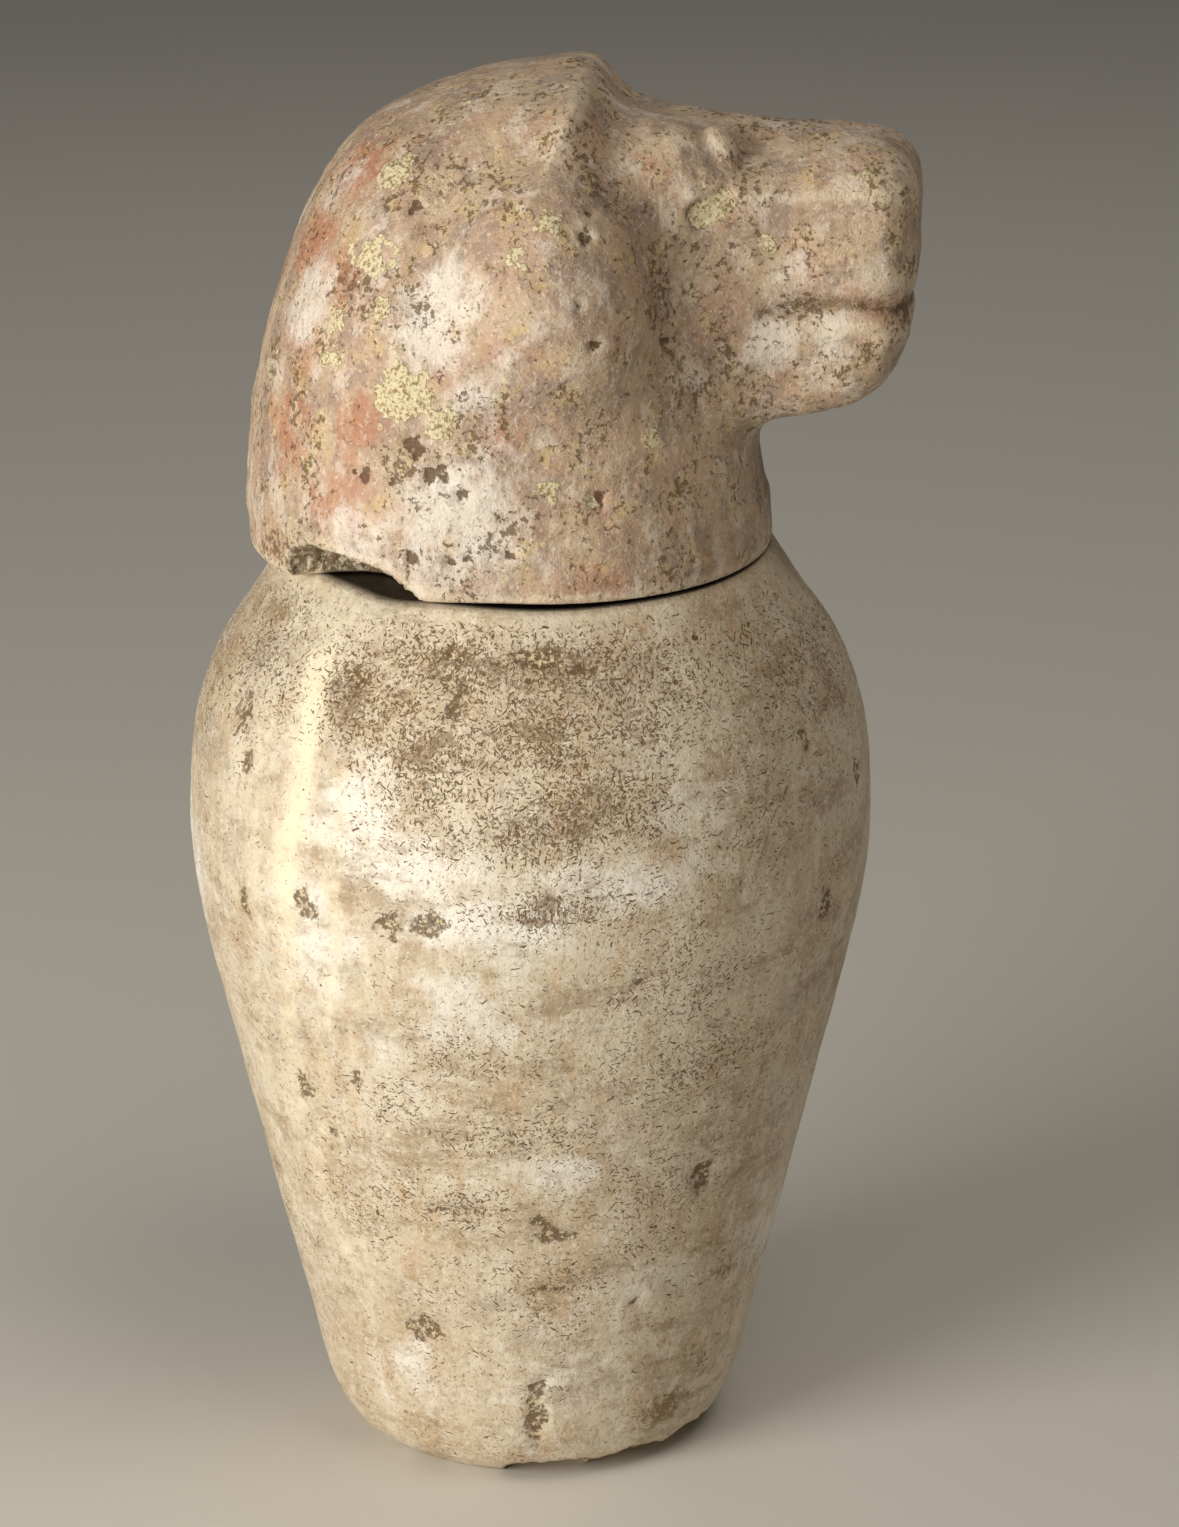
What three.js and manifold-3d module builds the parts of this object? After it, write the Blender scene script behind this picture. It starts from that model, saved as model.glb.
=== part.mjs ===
// Canopic jar of calcite alabaster with a lid carved as the head of a baboon.
// Two pieces of stone: the hollow jar, and the lid, which rests on the jar's rim by its own weight.
// Millimetres, +Z up. The origin is the centre of the jar's underside, and the baboon looks along -Y.
import * as THREE from "three";
import { mergeVertices } from "three/addons/utils/BufferGeometryUtils.js";
import Module from "manifold-3d";

const wasm = await Module();
wasm.setup();

// ---- Driving dimensions ----
const JAR_HEIGHT = 226;
const FOOT_RADIUS = 39.5;
const BELLY_RADIUS = 82.2;
const RIM_RADIUS = 58;
const MOUTH_RADIUS = 38;
const FLOOR_THICKNESS = 22;
const SEAT_GAP = 0.3; // the lid's flat underside stands this far off the rim
const LID_SETBACK = 4.5; // the lid sits a little behind the jar's axis
const PLUG_RADIUS = MOUTH_RADIUS - 2;
const PLUG_DEPTH = 11;
const HOOD_HALF_WIDTH = 58; // the mane, ear to ear
const HOOD_ROUNDING = 54; // how far in from its outline the mane reaches full width
const RUFF_ROUNDING = 30; // and along its front edge, where it stands up behind the cheeks
const BROW_LEAN = 0.11;
const EYE_APART = 16.5; // from the middle to the centre of each eye
const COARSE_CELL = 5.8; // grid step of the faceted head
const FINE_CELL = 3.8; // and about the eyes and brow
const LATHE_STEPS = 42;

// ---- Solids: three.js shapes joined and cut ----
function solidOf(geometry) {
  const bare = new THREE.BufferGeometry().setAttribute("position", geometry.getAttribute("position"));
  bare.setIndex(geometry.index);
  const merged = mergeVertices(bare, 1e-4);
  return new wasm.Manifold(
    new wasm.Mesh({
      numProp: 3,
      vertProperties: new Float32Array(merged.attributes.position.array),
      triVerts: new Uint32Array(merged.index.array),
    }),
  );
}

function geometryOf(solid) {
  const { vertProperties, triVerts } = solid.getMesh();
  const geometry = new THREE.BufferGeometry();
  geometry.setAttribute("position", new THREE.BufferAttribute(vertProperties, 3));
  geometry.setIndex(new THREE.BufferAttribute(triVerts, 1));
  geometry.computeVertexNormals();
  return geometry;
}

// A turned solid about Z. The profile is [radius, height] points that start and end on the axis.
function turned(profile, steps = LATHE_STEPS) {
  const points = profile.map(([radius, height]) => new THREE.Vector2(radius, height));
  return solidOf(new THREE.LatheGeometry(points, steps).rotateX(Math.PI / 2));
}

// The lump of stone that a blow takes off: a squashed ball with a shell-like, uneven surface.
function flake([x, y, z], [across, inward, upward], azimuth, lean = 0) {
  const lump = new THREE.IcosahedronGeometry(1, 2);
  const place = lump.getAttribute("position");
  for (let i = 0; i < place.count; i++) {
    const p = new THREE.Vector3().fromBufferAttribute(place, i);
    const ripple = 1 + 0.05 * Math.sin(5 * p.x + x) * Math.cos(4 * p.z) + 0.04 * Math.sin(7 * p.y + 3 * p.x + y);
    place.setXYZ(i, p.x * inward * ripple, p.y * across * ripple, p.z * upward * ripple);
  }
  return solidOf(lump.rotateX(lean).rotateZ(azimuth).translate(x, y, z));
}

// ---- The jar ----
// Half of the jar's outside, from the edge of the foot to the edge of the rim, as [radius, height].
const FLANK = [
  [FOOT_RADIUS, 0],
  [43.8, 3],
  [47.8, 8.5],
  [51.6, 18],
  [62.3, 62],
  [77.3, 125],
  [81.8, 150],
  [BELLY_RADIUS, 166],
  [80.8, 182],
  [75.4, 199],
  [66.5, 213],
  [61, 221.5],
  [RIM_RADIUS + 1, JAR_HEIGHT - 1],
  [RIM_RADIUS, JAR_HEIGHT],
];

// The hollow, from the foot of the well up to the mouth: drilled out, and a little wider than the mouth inside.
const HOLLOW = [
  [26, FLOOR_THICKNESS],
  [36, FLOOR_THICKNESS + 7],
  [44, FLOOR_THICKNESS + 34],
  [56, 110],
  [63, 150],
  [62, 178],
  [50, 203],
  [MOUTH_RADIUS + 1, 213],
  [MOUTH_RADIUS, 217],
];

function curveThrough(stations, steps) {
  return new THREE.SplineCurve(stations.map(([radius, height]) => new THREE.Vector2(radius, height)))
    .getPoints(steps)
    .map((point) => [point.x, point.y]);
}

// Blows along the foot's edge: [azimuth in degrees, how far in from the edge, length along it, height].
const FOOT_CHIPS = [
  [-176, 7.5, 7, 5],
  [-163, 9.5, 10, 6],
  [-141, 10.5, 12, 7.5],
  [-117, 12, 13, 8.5],
  [-97, 10, 10, 8],
  [-80, 6, 7, 5.5],
  [-52, 3, 4.5, 2.2],
  [-12, 3.2, 6, 2.4],
  [52, 3.4, 7, 2.6],
  [128, 3, 5, 2.2],
];

function jarSolid() {
  let jar = turned([
    [0, 0],
    ...curveThrough(FLANK, 20),
    [MOUTH_RADIUS, JAR_HEIGHT],
    ...curveThrough(HOLLOW, 10).reverse(),
    [0, FLOOR_THICKNESS],
  ]);
  for (const [degrees, inward, along, height] of FOOT_CHIPS) {
    const azimuth = THREE.MathUtils.degToRad(degrees);
    const reach = FOOT_RADIUS + 3;
    const place = [Math.cos(azimuth) * reach, Math.sin(azimuth) * reach, -0.4];
    jar = jar.subtract(flake(place, [along, inward, height], azimuth));
  }
  return jar;
}

// ---- The lid: a distance field in its own frame, +X forward to the muzzle, +Y its left, Z 0 on its underside ----
const { clamp, lerp, smoothstep } = THREE.MathUtils;

function blend(a, b, reach) {
  const share = clamp(0.5 + (0.5 * (b - a)) / reach, 0, 1);
  return b + (a - b) * share - reach * share * (1 - share);
}

const bump = (distance, width) => Math.exp(-((distance / width) ** 2));

function ellipsoid(x, y, z, centre, radii) {
  const p = [x - centre[0], y - centre[1], z - centre[2]];
  const near = Math.hypot(p[0] / radii[0], p[1] / radii[1], p[2] / radii[2]);
  const slope = Math.hypot(p[0] / radii[0] ** 2, p[1] / radii[1] ** 2, p[2] / radii[2] ** 2);
  return slope < 1e-9 ? -Math.min(...radii) : (near * (near - 1)) / slope;
}

// Signed distance from an outline in the median plane, given as closed [x, z] stations joined by a smooth curve.
function outlineField(stations, steps) {
  const loop = new THREE.SplineCurve(stations.map(([x, z]) => new THREE.Vector2(x, z))).getPoints(steps);
  return (x, z) => {
    let nearest = Infinity;
    let inside = false;
    for (let i = 0, j = loop.length - 1; i < loop.length; j = i++) {
      const [ax, az, bx, bz] = [loop[j].x, loop[j].y, loop[i].x, loop[i].y];
      const [ex, ez] = [bx - ax, bz - az];
      const share = clamp(((x - ax) * ex + (z - az) * ez) / (ex * ex + ez * ez || 1), 0, 1);
      nearest = Math.min(nearest, Math.hypot(x - ax - ex * share, z - az - ez * share));
      if (az > z !== bz > z && x < ax + (ex * (z - az)) / ez) inside = !inside;
    }
    return inside ? -nearest : nearest;
  };
}

// The mane seen from the side: down the back, over the crown to the ridge above the brow, down its front edge, the chest.
const hoodOutline = outlineField(
  [
    [62.8, -60],
    [-62.2, -60],
    [-62.2, 0],
    [-63.2, 12],
    [-61.6, 30],
    [-58.4, 49],
    [-53.6, 66],
    [-46.4, 84],
    [-33.8, 100.8],
    [-12, 111.6],
    [6, 115.2],
    [16.5, 116.2],
    [21.8, 114],
    [26.8, 107.4],
    [33.5, 97],
    [39.5, 83],
    [44.5, 67],
    [49.5, 52],
    [54.5, 40],
    [58.5, 28],
    [60.6, 16],
    [62.4, 3],
    [62.8, -60],
  ],
  150,
);

// The face and muzzle seen from the side: flat bridge, blunt nose, parted lips, rounded chin, jaw.
const muzzleOutline = outlineField(
  [
    [10, 98],
    [26, 104.4],
    [40, 104.1],
    [60, 103],
    [80, 101.4],
    [90.8, 98.6],
    [96.3, 91.4],
    [96.7, 78],
    [95.8, 66],
    [94.8, 56],
    [91.2, 46],
    [84, 38.8],
    [74, 35.8],
    [62, 34.4],
    [48, 34],
    [30, 40],
    [10, 60],
    [10, 98],
  ],
  110,
);

// Half the muzzle's width: the cheeks spread backwards, the bridge narrows in front of the eyes, the jaw is slimmer.
function muzzleHalfWidth(x, z, drop) {
  const cheeks = 25.5 + 9 * clamp((68 - x) / 38, 0, 1) ** 1.4;
  const bridge = (17 - 7 * clamp((x - 62) / 30, 0, 1)) * clamp((z + drop - 88.5) / 15, 0, 1) ** 1.5;
  const jaw = 4.5 * clamp((60 - z) / 22, 0, 1);
  const nose = 4.5 * clamp((x - 74) / 22, 0, 1) ** 2;
  return cheeks - bridge - jaw - nose;
}

function slab(outline, side, rounding) {
  const [a, b] = [outline + rounding, side + rounding];
  return Math.min(Math.max(a, b), 0) + Math.hypot(Math.max(a, 0), Math.max(b, 0)) - rounding;
}

// Both sides are alike but for the brow and bridge, which slope down a little to the head's left.
function headField(x, leftward, z) {
  const y = Math.abs(leftward);
  const ruff = clamp((x + 12) / 40, 0, 1) * clamp((z - 36) / 30, 0, 1);
  const rounding = lerp(HOOD_ROUNDING, RUFF_ROUNDING, ruff);
  const inset = Math.max(0, 1 + hoodOutline(x, z) / rounding);
  const hood = rounding * (Math.hypot(inset, y / HOOD_HALF_WIDTH) - 1);

  const ear = ellipsoid(x, y, z, [11, 34.5, 66.5], [26, 27, 30.5]);
  const groove = (2.2 + 1.2 * smoothstep(x, 0, 26)) * bump(ear - 3.5, 5) * clamp((z - 52) / 22, 0, 1);
  let head = blend(hood + groove, ear, 6);

  const drop = BROW_LEAN * (leftward + EYE_APART);
  const muzzle = slab(muzzleOutline(x, z), y - muzzleHalfWidth(x, z, drop), 8.5);
  head = blend(head, muzzle, 8 + 5 * clamp((60 - z) / 20, 0, 1));

  const lean = BROW_LEAN * leftward;
  const brow = ellipsoid(x, y, z + lean, [38, 15.5, 92], [14, 13.5, 11.5]);
  head = blend(head, brow, 7);

  // a furrow runs from the corner of the eye along the bridge
  const deep = 3 * bump(Math.hypot((x - 57.5) / 7, (z + drop - 98.5) / 5), 1);
  const shallow = 1.1 * bump(Math.hypot((x - 72) / 12, (z + drop - 97.5) / 4), 1);
  head += (deep + shallow) * smoothstep(y, 6, 12);

  const eye = ellipsoid(x, y, z + lean, [50, EYE_APART, 95.3], [5.4, 6.2, 7.2]);
  return blend(head, eye, 1);
}

// Grid lines from low to high: fine steps between the two marks, coarse ones outside them.
function gridLines(low, high, [fineFrom, fineTo]) {
  const lines = [low];
  while (lines.at(-1) < high) {
    const here = lines.at(-1);
    lines.push(here + (here >= fineFrom - FINE_CELL && here < fineTo ? FINE_CELL : COARSE_CELL));
  }
  return lines;
}

// The closed skin of a field: one point in each grid cell that the skin crosses, moved onto it, and a quad across each
// grid edge that it crosses.
function skinOf(field, lines) {
  const count = lines.map((axis) => axis.length);
  const index = (i, j, k) => (k * count[1] + j) * count[0] + i;
  const at = (i, j, k) => [lines[0][i], lines[1][j], lines[2][k]];
  const value = new Float64Array(count[0] * count[1] * count[2]);
  for (let k = 0; k < count[2]; k++)
    for (let j = 0; j < count[1]; j++)
      for (let i = 0; i < count[0]; i++) value[index(i, j, k)] = field(...at(i, j, k));

  const points = [];
  const pointOf = new Map();
  function cellPoint(i, j, k) {
    const key = index(i, j, k);
    if (pointOf.has(key)) return pointOf.get(key);
    const sum = new THREE.Vector3();
    let crossings = 0;
    for (let axis = 0; axis < 3; axis++)
      for (const [a, b] of [[0, 0], [0, 1], [1, 0], [1, 1]]) {
        const start = [i, j, k];
        start[(axis + 1) % 3] += a;
        start[(axis + 2) % 3] += b;
        const end = [...start];
        end[axis] += 1;
        const [v0, v1] = [value[index(...start)], value[index(...end)]];
        if (v0 < 0 === v1 < 0) continue;
        sum.add(new THREE.Vector3(...at(...start)).lerp(new THREE.Vector3(...at(...end)), v0 / (v0 - v1)));
        crossings++;
      }
    const point = ontoSkin(sum.divideScalar(crossings), field);
    pointOf.set(key, points.length / 3);
    points.push(point.x, point.y, point.z);
    return pointOf.get(key);
  }

  // How far the middle of an edge lies off the skin: each quad is split along the edge that follows it better.
  const offSkin = (a, b) => Math.abs(field(...[0, 1, 2].map((axis) => (points[3 * a + axis] + points[3 * b + axis]) / 2)));

  const faces = [];
  for (let k = 1; k < count[2] - 1; k++)
    for (let j = 1; j < count[1] - 1; j++)
      for (let i = 1; i < count[0] - 1; i++)
        for (let axis = 0; axis < 3; axis++) {
          const end = [i, j, k];
          end[axis] += 1;
          const inside = value[index(i, j, k)] < 0;
          if (inside === value[index(...end)] < 0) continue;
          const quad = [[0, 0], [-1, 0], [-1, -1], [0, -1]].map(([a, b]) => {
            const corner = [i, j, k];
            corner[(axis + 1) % 3] += a;
            corner[(axis + 2) % 3] += b;
            return cellPoint(...corner);
          });
          if (!inside) quad.reverse();
          const [a, b, c, d] = quad;
          if (offSkin(a, c) < offSkin(b, d)) faces.push(a, b, c, a, c, d);
          else faces.push(b, c, d, b, d, a);
        }
  const geometry = new THREE.BufferGeometry();
  geometry.setAttribute("position", new THREE.Float32BufferAttribute(points, 3));
  geometry.setIndex(faces);
  return geometry;
}

// Slides a point down the field's slope onto its zero surface, never further than half a coarse cell.
function ontoSkin(start, field) {
  const point = start.clone();
  const step = 0.05;
  for (let round = 0; round < 4; round++) {
    const here = field(point.x, point.y, point.z);
    const slope = new THREE.Vector3(
      field(point.x + step, point.y, point.z) - here,
      field(point.x, point.y + step, point.z) - here,
      field(point.x, point.y, point.z + step) - here,
    ).divideScalar(step);
    point.addScaledVector(slope, -here / Math.max(slope.lengthSq(), 0.2));
  }
  const moved = point.sub(start);
  return moved.clampLength(0, COARSE_CELL / 2).add(start);
}

// The bite that is missing from the lid's lower edge, behind its right shoulder.
const EDGE_BREAK = { azimuth: -121, reach: 58.5, drop: -3, size: [22.5, 15, 11.5], lean: -0.3 };

function lidSolid() {
  const closed = (x, y, z) => Math.max(headField(x, y, z), -8 - z);
  const lines = [gridLines(-80, 110, [24, 62]), gridLines(-76, 76, [-30, 30]), gridLines(-20, 128, [80, 112])];
  const skin = solidOf(skinOf(closed, lines));
  const below = solidOf(new THREE.BoxGeometry(240, 240, 60).translate(0, 0, -30));
  const plug = turned([
    [0, -PLUG_DEPTH],
    [PLUG_RADIUS - 2, -PLUG_DEPTH],
    [PLUG_RADIUS - 0.5, -PLUG_DEPTH + 1.5],
    [PLUG_RADIUS, -1],
    [PLUG_RADIUS, 6],
    [0, 6],
  ]).translate([LID_SETBACK, 0, 0]);
  const azimuth = THREE.MathUtils.degToRad(EDGE_BREAK.azimuth);
  const place = [Math.cos(azimuth) * EDGE_BREAK.reach, Math.sin(azimuth) * EDGE_BREAK.reach, EDGE_BREAK.drop];
  return skin.subtract(below).subtract(flake(place, EDGE_BREAK.size, azimuth, EDGE_BREAK.lean)).add(plug);
}

// ---- Finishes and assembly ----
const jarStone = new THREE.MeshStandardMaterial({ color: "#cdb899", roughness: 0.55, metalness: 0 });
const lidStone = new THREE.MeshStandardMaterial({ color: "#c2a38a", roughness: 0.5, metalness: 0 });

const canopicJar = new THREE.Group();

const jar = new THREE.Mesh(geometryOf(jarSolid()), jarStone);
jar.name = "jar_body";
canopicJar.add(jar);

const lid = new THREE.Mesh(geometryOf(lidSolid()), lidStone);
lid.name = "baboon_head_lid";
lid.rotation.z = -Math.PI / 2;
lid.position.set(0, LID_SETBACK, JAR_HEIGHT + SEAT_GAP);
canopicJar.add(lid);

export default canopicJar;
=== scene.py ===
import math

import bmesh
import bpy
import numpy as np
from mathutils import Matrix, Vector, noise


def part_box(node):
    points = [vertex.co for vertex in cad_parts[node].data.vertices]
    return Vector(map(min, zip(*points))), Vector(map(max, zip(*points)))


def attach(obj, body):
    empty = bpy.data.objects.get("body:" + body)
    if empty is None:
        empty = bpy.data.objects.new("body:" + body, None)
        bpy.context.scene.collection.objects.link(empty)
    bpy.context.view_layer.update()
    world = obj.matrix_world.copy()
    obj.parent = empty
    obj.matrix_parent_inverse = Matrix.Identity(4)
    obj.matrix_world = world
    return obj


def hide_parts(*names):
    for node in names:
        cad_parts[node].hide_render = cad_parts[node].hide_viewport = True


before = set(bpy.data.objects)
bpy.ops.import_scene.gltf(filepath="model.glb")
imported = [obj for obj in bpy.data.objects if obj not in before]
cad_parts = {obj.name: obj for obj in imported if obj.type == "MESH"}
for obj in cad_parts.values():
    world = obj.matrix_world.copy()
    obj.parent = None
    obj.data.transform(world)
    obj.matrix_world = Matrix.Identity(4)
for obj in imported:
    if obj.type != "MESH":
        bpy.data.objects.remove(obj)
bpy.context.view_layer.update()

MM = 0.001
SEAT_GAP = 0.3
RIM_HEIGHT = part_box("jar_body")[1].z / MM
LID_SEAT = RIM_HEIGHT + SEAT_GAP
LID_SETBACK = 4.5

# ---------------------------------------------------------------- curves and fields


def smooth_through(stations, steps):
    """Points along a smooth curve through the stations."""
    p = np.array(stations, float)
    last = len(p) - 1
    t = np.linspace(0, last, steps + 1)
    i = np.minimum(t.astype(int), last)
    w = (t - i)[:, None]
    a, b, c, d = p[np.maximum(i - 1, 0)], p[i], p[np.minimum(i + 1, last)], p[np.minimum(i + 2, last)]
    u, v = (c - a) / 2, (d - b) / 2
    return (2 * b - 2 * c + u + v) * w**3 + (3 * c - 3 * b - 2 * u - v) * w**2 + u * w + b


def evenly(points, spacing):
    """The same line with its points about one spacing apart."""
    points = np.asarray(points, float)
    length = np.concatenate([[0], np.cumsum(np.linalg.norm(np.diff(points, axis=0), axis=1))])
    at = np.linspace(0, length[-1], max(2, int(round(length[-1] / spacing)) + 1))
    return np.stack([np.interp(at, length, points[:, k]) for k in range(points.shape[1])], axis=1)


def outline_field(stations, steps, cell=0.5, margin=34.0):
    """Signed distance from a closed outline in the median plane, looked up from a fine grid."""
    loop = smooth_through(stations, steps)
    low, high = loop.min(0) - margin, loop.max(0) + margin
    gx, gz = np.arange(low[0], high[0], cell), np.arange(low[1], high[1], cell)
    x, z = np.meshgrid(gx, gz, indexing="ij")
    nearest, inside = np.full(x.shape, np.inf), np.zeros(x.shape, bool)
    for (ax, az), (bx, bz) in zip(np.roll(loop, 1, axis=0), loop):
        ex, ez = bx - ax, bz - az
        share = np.clip(((x - ax) * ex + (z - az) * ez) / (ex * ex + ez * ez or 1), 0, 1)
        nearest = np.minimum(nearest, (x - ax - ex * share) ** 2 + (z - az - ez * share) ** 2)
        if az != bz:
            inside ^= ((az > z) != (bz > z)) & (x < ax + ex * (z - az) / ez)
    grid = np.where(inside, -1, 1) * np.sqrt(nearest)

    def distance(px, pz):
        fx = np.clip((px - low[0]) / cell, 0, len(gx) - 1.001)
        fz = np.clip((pz - low[1]) / cell, 0, len(gz) - 1.001)
        i, k = fx.astype(int), fz.astype(int)
        u, v = fx - i, fz - k
        return (grid[i, k] * (1 - u) + grid[i + 1, k] * u) * (1 - v) + (
            grid[i, k + 1] * (1 - u) + grid[i + 1, k + 1] * u
        ) * v

    return distance


def blend(a, b, reach):
    """Two bodies joined with a soft fillet."""
    share = np.clip(0.5 + 0.5 * (b - a) / reach, 0, 1)
    return b + (a - b) * share - reach * share * (1 - share)


def carve(a, b, reach):
    """The first body with what the second stands for taken off, its edge a little rounded."""
    return -blend(-a, b, reach)


def bump(distance, width):
    """1 at no distance, falling smoothly to 0 over a width."""
    return np.exp(-((distance / width) ** 2))


def ramp(value, start, end):
    """0 before the start and 1 past the end, smooth between."""
    t = np.clip((value - start) / (end - start), 0, 1)
    return t * t * (3 - 2 * t)


def ellipsoid(x, y, z, centre, radii):
    """About the distance from an ellipsoid's skin, negative inside it."""
    p, r = (x - centre[0], y - centre[1], z - centre[2]), radii
    near = np.sqrt(sum((c / k) ** 2 for c, k in zip(p, r)))
    slope = np.sqrt(sum((c / k**2) ** 2 for c, k in zip(p, r)))
    return near * (near - 1) / np.maximum(slope, 1e-6)


def from_line(px, pz, stations):
    """Distance from a bent line in the median plane, and how far along it the nearest point is, 0 to 1."""
    best, along = np.full(np.shape(px), np.inf), np.zeros(np.shape(px))
    line = smooth_through(stations, 24)
    for i, ((ax, az), (bx, bz)) in enumerate(zip(line[:-1], line[1:])):
        ex, ez = bx - ax, bz - az
        share = np.clip(((px - ax) * ex + (pz - az) * ez) / (ex * ex + ez * ez), 0, 1)
        far = np.hypot(px - ax - ex * share, pz - az - ez * share)
        closer = far < best
        best, along = np.where(closer, far, best), np.where(closer, (i + share) / (len(line) - 1), along)
    return best, along


# ---------------------------------------------------------------- the head
# in the lid's own millimetres: x forward to the muzzle, y to the head's left, z up from the lid's underside

MANE = [
    (62.8, -60), (-62.2, -60), (-62.2, 0), (-63.2, 12), (-61.6, 30), (-58.4, 49), (-53.6, 66),
    (-46.4, 84), (-33.8, 100.8), (-12, 111.6), (6, 115.2), (16.5, 116.2), (21.8, 114), (26.8, 107.4),
    (33.5, 97), (39.5, 83), (44.5, 67), (49.5, 52), (54.5, 40), (58.5, 28), (60.6, 16), (62.4, 3),
    (62.8, -60),
]
MUZZLE = [
    (10, 98), (26, 104.4), (40, 104.1), (60, 103), (80, 101.4), (90.8, 98.6), (96.3, 91.4), (96.7, 78),
    (95.8, 66), (94.8, 56), (91.2, 46), (84, 38.8), (74, 35.8), (62, 34.4), (48, 34), (30, 40),
    (10, 60), (10, 98),
]
MOUTH = [(104, 61), (94, 62.2), (85, 64.2), (77, 64.8), (69, 63.6), (61, 61.8)]
MANE_HALF_WIDTH = 58.0
MANE_ROUNDING, RUFF_ROUNDING = 54.0, 30.0
MUZZLE_ROUNDING = 8.5
BROW_LEAN = 0.11
EYE_APART, EYE_TILT = 16.5, math.radians(24)
BREAK_AZIMUTH, BREAK_LEAN, BREAK_RADIUS = math.radians(-121), -0.3, 58.5
PLUG_RADIUS, PLUG_DEPTH = 36.0, 11.0
LID_CELL = 0.98

mane_distance = outline_field(MANE, 150)
muzzle_distance = outline_field(MUZZLE, 110)


def muzzle_half_width(x, z, drop):
    """Half the muzzle's width: narrower at the bridge, the jaw and the nose."""
    cheeks = 25.5 + 9 * np.clip((68 - x) / 38, 0, 1) ** 1.4
    bridge = (17 - 7 * np.clip((x - 62) / 30, 0, 1)) * np.clip((z + drop - 88.5) / 15, 0, 1) ** 1.5
    jaw = 4.5 * np.clip((60 - z) / 22, 0, 1)
    nose = 4.5 * np.clip((x - 74) / 22, 0, 1) ** 2
    return cheeks - bridge - jaw - nose


def carved_head(x, leftward, z):
    """Signed distance from the head's skin, negative inside the stone."""
    y = np.abs(leftward)
    ruff = np.clip((x + 12) / 40, 0, 1) * np.clip((z - 36) / 30, 0, 1)
    rounding = MANE_ROUNDING + (RUFF_ROUNDING - MANE_ROUNDING) * ruff
    inset = np.maximum(0, 1 + mane_distance(x, z) / rounding)
    mane = rounding * (np.hypot(inset, y / MANE_HALF_WIDTH) - 1)

    # the lobe of mane behind the cheek, in a groove that fades towards the crown's front
    lobe = ellipsoid(x, y, z, (11, 34.5, 66.5), (26, 27, 30.5))
    groove = 3.4 * bump(lobe - 4, 5.6) * np.clip((z - 50) / 20, 0, 1)
    groove *= 1 - 0.75 * ramp(x, 6, 22) * ramp(z, 82, 96)
    head = blend(mane + groove, lobe, 6)

    drop = BROW_LEAN * (leftward + EYE_APART)
    across = y - muzzle_half_width(x, z, drop)
    down = muzzle_distance(x, z)
    a, b = down + MUZZLE_ROUNDING, across + MUZZLE_ROUNDING
    muzzle = np.minimum(np.maximum(a, b), 0) + np.hypot(np.maximum(a, 0), np.maximum(b, 0)) - MUZZLE_ROUNDING
    head = blend(head, muzzle, 8 + 5 * np.clip((60 - z) / 20, 0, 1))

    lean = BROW_LEAN * leftward
    brow = ellipsoid(x, y, z + lean, (38, 15.5, 92), (14, 13.5, 11.5))
    head = blend(head, brow, 7)
    # the furrow before the eye, deep at the eye and shallow along the bridge
    deep = 3.0 * bump(np.hypot((x - 57.5) / 7, (z + drop - 98.5) / 5), 1)
    shallow = 1.1 * bump(np.hypot((x - 72) / 12, (z + drop - 97.5) / 4), 1)
    head = head + (deep + shallow) * ramp(y, 6, 12)
    # an almond set on the slant, its lower end forward, with the brow's edge cut in behind it
    dx, dz = x - 50.6, z + lean - 95
    across_eye = dx * math.cos(EYE_TILT) + dz * math.sin(EYE_TILT)
    along_eye = dz * math.cos(EYE_TILT) - dx * math.sin(EYE_TILT)
    eye = ellipsoid(across_eye, y, along_eye, (0, EYE_APART - 0.2, 0), (5.0, 6.6, 8.0))
    head = blend(head, eye, 1.1)
    head = head + 0.4 * bump(across_eye + 5.4, 1.3) * ramp(8.5 - np.abs(along_eye), 0, 4) * ramp(y, 8, 12)

    # the parted lips: wide and soft at the front, narrow and deep at the corner
    off, along = from_line(x, z - 1.8 * ramp(16 - y, 0, 16) * ramp(x, 86, 95), MOUTH)
    corner = ramp(along, 0.62, 0.92)
    width = 3.4 - 2.0 * corner
    depth = 1.8 - 0.6 * ramp(along, 0.1, 0.45) + 1.4 * corner
    head = head + depth * bump(off, width) * (1 - 0.45 * ramp(x, 90, 95) * ramp(18 - y, 0, 8))
    head = head - 0.7 * bump(off - 7, 4.5) * ramp(x, 60, 74)
    nostril = ellipsoid(x, y, z - 0.25 * y, (97, 7, 87), (2.2, 2.8, 1.7))
    return carve(head, nostril, 2.4)


def edge_break(x, y, z):
    """The bite missing from the lid's lower edge, as a lumpy ball of stone taken off."""
    cos_a, sin_a = math.cos(BREAK_AZIMUTH), math.sin(BREAK_AZIMUTH)
    cos_l, sin_l = math.cos(BREAK_LEAN), math.sin(BREAK_LEAN)
    px, py = x - BREAK_RADIUS * cos_a, y - BREAK_RADIUS * sin_a
    inward = px * cos_a + py * sin_a
    tangent = -px * sin_a + py * cos_a
    across = tangent * cos_l + (z + 3) * sin_l
    upward = -tangent * sin_l + (z + 3) * cos_l
    q = np.stack([inward / 15, across / 22.5, upward / 11.5])
    near = np.sqrt((q**2).sum(0))
    u = q / np.maximum(near, 1e-6)
    ripple = 1 + 0.05 * np.sin(5 * u[0] - 30) * np.cos(4 * u[2]) + 0.04 * np.sin(7 * u[1] + 3 * u[0] - 50)
    return (near / ripple - 1) * 12


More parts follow.
